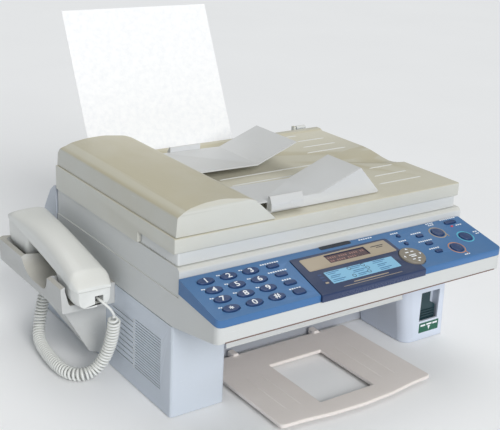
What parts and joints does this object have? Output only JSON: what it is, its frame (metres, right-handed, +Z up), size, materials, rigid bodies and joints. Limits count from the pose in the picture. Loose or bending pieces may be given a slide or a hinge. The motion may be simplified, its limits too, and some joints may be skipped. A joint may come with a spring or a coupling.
{
  "type": "fax machine",
  "caption": "Desktop laser fax machine with a flatbed scanner lid, a document feeder hump, a sloped control panel, a side handset on a curly cord and a leaning paper feed.",
  "frame": {"origin": "middle of the footprint's bounding box, on the table under the feet", "axes": "+X to the operator's right, +Y away from the operator, +Z up"},
  "size_m": [0.4798, 0.4736, 0.3804],
  "materials": {
    "body_white": "moulded, fine texture",
    "side_blue_grey": "moulded, fine texture",
    "tower_pale_blue": "moulded, fine texture",
    "tray_pink_grey": "moulded, fine texture",
    "lever_teal": "satin",
    "paper": "uncoated",
    "dark_plastic": "satin",
    "handset_white": "satin",
    "cord_grey": "satin",
    "clear_plastic": "clear",
    "drum_coating": "gloss",
    "steel": "turned",
    "rubber": "matt",
    "circuit_board": "solder mask",
    "panel_blue": "satin",
    "panel_navy": "satin",
    "display_glass": "clear window",
    "glass": "polished",
    "lid_beige": "moulded, fine texture",
    "key_blue": "satin",
    "dial_tan": "satin"
  },
  "bodies": {
    "base": {"base_frame": "body_white", "left_cover": "side_blue_grey", "right_cover": "tower_pale_blue", "rear_cover": "side_blue_grey", "paper_input_tray": "side_blue_grey", "handset_cradle": "side_blue_grey", "process_cartridge": "dark_plastic", "main_board": "circuit_board", "power_supply": "steel", "handset_cord": "cord_grey", "jack_plug": "clear_plastic"},
    "output_tray": {"output_tray": "tray_pink_grey"},
    "release_lever": {"release_lever": "lever_teal"},
    "recording_paper": {"recording_paper": "paper"},
    "hook_switch": {"hook_switch": "dark_plastic"},
    "photosensitive_drum": {"photosensitive_drum": "drum_coating"},
    "heat_roller": {"heat_roller": "steel"},
    "pickup_roller": {"pickup_roller": "rubber"},
    "handset": {"handset_upper_shell": "handset_white", "handset_lower_shell": "handset_white", "handset_plug": "dark_plastic"},
    "upper_unit": {"upper_casing": "side_blue_grey", "control_panel": "panel_blue", "display_panel": "panel_navy", "lcd_window": "display_glass", "scanner_base": "side_blue_grey", "platen_glass": "glass"},
    "scan_carriage": {"scan_carriage": "dark_plastic"},
    "document_lid": {"document_lid": "lid_beige", "lid_backing": "body_white"},
    "adf_cover": {"adf_cover": "lid_beige"},
    "adf_roller": {"adf_roller": "rubber"},
    "document_guide_front": {"document_guide_front": "body_white"},
    "document_guide_rear": {"document_guide_rear": "body_white"},
    "key_1": {"key_1": "key_blue"},
    "key_2": {"key_2": "key_blue"},
    "key_3": {"key_3": "key_blue"},
    "key_4": {"key_4": "key_blue"},
    "key_5": {"key_5": "key_blue"},
    "key_6": {"key_6": "key_blue"},
    "key_7": {"key_7": "key_blue"},
    "key_8": {"key_8": "key_blue"},
    "key_9": {"key_9": "key_blue"},
    "key_star": {"key_star": "key_blue"},
    "key_0": {"key_0": "key_blue"},
    "key_hash": {"key_hash": "key_blue"},
    "redial_key": {"redial_key": "key_blue"},
    "mute_key": {"mute_key": "key_blue"},
    "flash_key": {"flash_key": "key_blue"},
    "monitor_key": {"monitor_key": "key_blue"},
    "help_key": {"help_key": "key_blue"},
    "menu_key": {"menu_key": "key_blue"},
    "quick_scan_key": {"quick_scan_key": "key_blue"},
    "resolution_key": {"resolution_key": "key_blue"},
    "contrast_key": {"contrast_key": "key_blue"},
    "copy_key": {"copy_key": "key_blue"},
    "start_key": {"start_key": "key_blue"},
    "stop_key": {"stop_key": "key_blue"},
    "mode_key": {"mode_key": "key_blue"},
    "navigator_key": {"navigator_key": "dial_tan"}
  },
  "joints": [
    {"name": "output_tray_slide", "type": "slide", "parent": "base", "child": "output_tray", "axis": [0, -1, 0], "range_m": [0, 0.12]},
    {"name": "release_lever_slide", "type": "slide", "parent": "base", "child": "release_lever", "axis": [0, 0, -1], "range_m": [0, 0.008], "stiffness_N_per_m": 120, "springref_m": -0.004},
    {"name": "recording_paper_slide", "type": "slide", "parent": "base", "child": "recording_paper", "axis": [0, 0.4285, 0.9035], "range_m": [0, 0.2]},
    {"name": "hook_switch_press", "type": "slide", "parent": "base", "child": "hook_switch", "axis": [0, 0, 1], "range_m": [-0.003, 0], "stiffness_N_per_m": 80, "springref_m": 0.002},
    {"name": "drum_spin", "type": "hinge", "parent": "base", "child": "photosensitive_drum", "pos_m": [0, -0.02282, 0.088], "axis": [1, 0, 0], "continuous": true},
    {"name": "heat_roller_spin", "type": "hinge", "parent": "base", "child": "heat_roller", "pos_m": [0, -0.10882, 0.092], "axis": [1, 0, 0], "continuous": true},
    {"name": "pickup_roller_spin", "type": "hinge", "parent": "base", "child": "pickup_roller", "pos_m": [0, 0.09318, 0.102], "axis": [1, 0, 0], "continuous": true},
    {"name": "handset_lift", "type": "slide", "parent": "base", "child": "handset", "axis": [0, 0, 1], "range_m": [0, 0.05]},
    {"name": "upper_unit_hinge", "type": "hinge", "parent": "base", "child": "upper_unit", "pos_m": [0, 0.14018, 0.2], "axis": [-1, 0, 0], "range_deg": [0, 22]},
    {"name": "scan_carriage_slide", "type": "slide", "parent": "upper_unit", "child": "scan_carriage", "axis": [1, 0, 0], "range_m": [0, 0.33]},
    {"name": "document_lid_hinge", "type": "hinge", "parent": "upper_unit", "child": "document_lid", "pos_m": [0, 0.13868, 0.2135], "axis": [-1, 0, 0], "range_deg": [0, 40]},
    {"name": "adf_cover_hinge", "type": "hinge", "parent": "document_lid", "child": "adf_cover", "pos_m": [-0.17249, 0, 0.2134], "axis": [0, -1, 0], "range_deg": [0, 75]},
    {"name": "adf_roller_spin", "type": "hinge", "parent": "document_lid", "child": "adf_roller", "pos_m": [-0.09349, 0, 0.2224], "axis": [0, 1, 0], "continuous": true},
    {"name": "document_guide_front_slide", "type": "slide", "parent": "document_lid", "child": "document_guide_front", "axis": [0, 1, 0], "range_m": [0, 0.03]},
    {"name": "document_guide_rear_slide", "type": "slide", "parent": "document_lid", "child": "document_guide_rear", "axis": [0, 1, 0], "range_m": [-0.03, 0]},
    {"name": "key_1_press", "type": "slide", "parent": "upper_unit", "child": "key_1", "axis": [0, 0.2148, -0.9767], "range_m": [0, 0.0012], "stiffness_N_per_m": 300, "springref_m": -0.001},
    {"name": "key_2_press", "type": "slide", "parent": "upper_unit", "child": "key_2", "axis": [0, 0.2148, -0.9767], "range_m": [0, 0.0012], "stiffness_N_per_m": 300, "springref_m": -0.001},
    {"name": "key_3_press", "type": "slide", "parent": "upper_unit", "child": "key_3", "axis": [0, 0.2148, -0.9767], "range_m": [0, 0.0012], "stiffness_N_per_m": 300, "springref_m": -0.001},
    {"name": "key_4_press", "type": "slide", "parent": "upper_unit", "child": "key_4", "axis": [0, 0.2148, -0.9767], "range_m": [0, 0.0012], "stiffness_N_per_m": 300, "springref_m": -0.001},
    {"name": "key_5_press", "type": "slide", "parent": "upper_unit", "child": "key_5", "axis": [0, 0.2148, -0.9767], "range_m": [0, 0.0012], "stiffness_N_per_m": 300, "springref_m": -0.001},
    {"name": "key_6_press", "type": "slide", "parent": "upper_unit", "child": "key_6", "axis": [0, 0.2148, -0.9767], "range_m": [0, 0.0012], "stiffness_N_per_m": 300, "springref_m": -0.001},
    {"name": "key_7_press", "type": "slide", "parent": "upper_unit", "child": "key_7", "axis": [0, 0.2148, -0.9767], "range_m": [0, 0.0012], "stiffness_N_per_m": 300, "springref_m": -0.001},
    {"name": "key_8_press", "type": "slide", "parent": "upper_unit", "child": "key_8", "axis": [0, 0.2148, -0.9767], "range_m": [0, 0.0012], "stiffness_N_per_m": 300, "springref_m": -0.001},
    {"name": "key_9_press", "type": "slide", "parent": "upper_unit", "child": "key_9", "axis": [0, 0.2148, -0.9767], "range_m": [0, 0.0012], "stiffness_N_per_m": 300, "springref_m": -0.001},
    {"name": "key_star_press", "type": "slide", "parent": "upper_unit", "child": "key_star", "axis": [0, 0.2148, -0.9767], "range_m": [0, 0.0012], "stiffness_N_per_m": 300, "springref_m": -0.001},
    {"name": "key_0_press", "type": "slide", "parent": "upper_unit", "child": "key_0", "axis": [0, 0.2148, -0.9767], "range_m": [0, 0.0012], "stiffness_N_per_m": 300, "springref_m": -0.001},
    {"name": "key_hash_press", "type": "slide", "parent": "upper_unit", "child": "key_hash", "axis": [0, 0.2148, -0.9767], "range_m": [0, 0.0012], "stiffness_N_per_m": 300, "springref_m": -0.001},
    {"name": "redial_key_press", "type": "slide", "parent": "upper_unit", "child": "redial_key", "axis": [0, 0.2148, -0.9767], "range_m": [0, 0.0012], "stiffness_N_per_m": 300, "springref_m": -0.001},
    {"name": "mute_key_press", "type": "slide", "parent": "upper_unit", "child": "mute_key", "axis": [0, 0.2148, -0.9767], "range_m": [0, 0.0012], "stiffness_N_per_m": 300, "springref_m": -0.001},
    {"name": "flash_key_press", "type": "slide", "parent": "upper_unit", "child": "flash_key", "axis": [0, 0.2148, -0.9767], "range_m": [0, 0.0012], "stiffness_N_per_m": 300, "springref_m": -0.001},
    {"name": "monitor_key_press", "type": "slide", "parent": "upper_unit", "child": "monitor_key", "axis": [0, 0.2148, -0.9767], "range_m": [0, 0.0012], "stiffness_N_per_m": 300, "springref_m": -0.001},
    {"name": "help_key_press", "type": "slide", "parent": "upper_unit", "child": "help_key", "axis": [0, 0.2148, -0.9767], "range_m": [0, 0.0012], "stiffness_N_per_m": 300, "springref_m": -0.001},
    {"name": "menu_key_press", "type": "slide", "parent": "upper_unit", "child": "menu_key", "axis": [0, 0.2148, -0.9767], "range_m": [0, 0.0012], "stiffness_N_per_m": 300, "springref_m": -0.001},
    {"name": "quick_scan_key_press", "type": "slide", "parent": "upper_unit", "child": "quick_scan_key", "axis": [0, 0.2148, -0.9767], "range_m": [0, 0.0012], "stiffness_N_per_m": 300, "springref_m": -0.001},
    {"name": "resolution_key_press", "type": "slide", "parent": "upper_unit", "child": "resolution_key", "axis": [0, 0.2148, -0.9767], "range_m": [0, 0.0012], "stiffness_N_per_m": 300, "springref_m": -0.001},
    {"name": "contrast_key_press", "type": "slide", "parent": "upper_unit", "child": "contrast_key", "axis": [0, 0.2148, -0.9767], "range_m": [0, 0.0012], "stiffness_N_per_m": 300, "springref_m": -0.001},
    {"name": "copy_key_press", "type": "slide", "parent": "upper_unit", "child": "copy_key", "axis": [0, 0.2148, -0.9767], "range_m": [0, 0.0012], "stiffness_N_per_m": 300, "springref_m": -0.001},
    {"name": "start_key_press", "type": "slide", "parent": "upper_unit", "child": "start_key", "axis": [0, 0.2148, -0.9767], "range_m": [0, 0.0012], "stiffness_N_per_m": 300, "springref_m": -0.001},
    {"name": "stop_key_press", "type": "slide", "parent": "upper_unit", "child": "stop_key", "axis": [0, 0.2148, -0.9767], "range_m": [0, 0.0012], "stiffness_N_per_m": 300, "springref_m": -0.001},
    {"name": "mode_key_press", "type": "slide", "parent": "upper_unit", "child": "mode_key", "axis": [0, 0.2148, -0.9767], "range_m": [0, 0.0012], "stiffness_N_per_m": 300, "springref_m": -0.001},
    {"name": "navigator_key_press", "type": "slide", "parent": "upper_unit", "child": "navigator_key", "axis": [0, 0.2148, -0.9767], "range_m": [0, 0.0012], "stiffness_N_per_m": 300, "springref_m": -0.001}
  ],
  "couplings": [
    {"joint": "heat_roller_spin", "follows": "drum_spin", "ratio": 1.3273},
    {"joint": "pickup_roller_spin", "follows": "drum_spin", "ratio": 1.6222},
    {"joint": "document_guide_rear_slide", "follows": "document_guide_front_slide", "ratio": -1}
  ]
}
